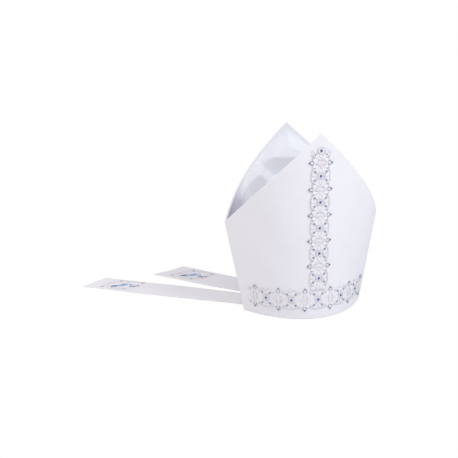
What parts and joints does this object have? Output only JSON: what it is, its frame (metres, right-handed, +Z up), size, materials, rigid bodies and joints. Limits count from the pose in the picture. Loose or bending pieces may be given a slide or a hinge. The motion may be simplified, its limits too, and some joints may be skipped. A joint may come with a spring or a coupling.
{
  "type": "bishop mitre",
  "caption": "Pointed ceremonial cloth hat with two stiff horns, a satin gusset between them, jewelled bands on the front and lappets laid out behind.",
  "frame": {"origin": "middle of the head opening, on the plane of the hem that the mitre stands on", "axes": "+Z up, the front panel faces -Y, +X towards the wearer's left"},
  "size_m": [0.5115, 0.385, 0.318],
  "materials": {
    "ivory_cloth": "fine matt ivory white weave",
    "satin": "cool white satin with a soft sheen",
    "embroidery": "raised taupe and silver thread over pale filling",
    "blue_embroidery": "raised blue and grey thread",
    "blue_stone": "polished dark blue cut glass"
  },
  "bodies": {
    "root": {"front_panel": "ivory_cloth", "back_panel": "ivory_cloth", "gusset": "satin", "right_lappet": "ivory_cloth", "left_lappet": "ivory_cloth", "right_lappet_motif": "blue_embroidery", "left_lappet_motif": "blue_embroidery", "hem_orphrey": "embroidery", "vertical_orphrey": "embroidery", "centre_stone_01": "blue_stone", "centre_stone_02": "blue_stone", "centre_stone_03": "blue_stone", "centre_stone_04": "blue_stone", "centre_stone_05": "blue_stone", "centre_stone_06": "blue_stone", "centre_stone_07": "blue_stone", "centre_stone_08": "blue_stone", "centre_stone_09": "blue_stone", "centre_stone_10": "blue_stone", "centre_stone_11": "blue_stone"}
  },
  "joints": []
}
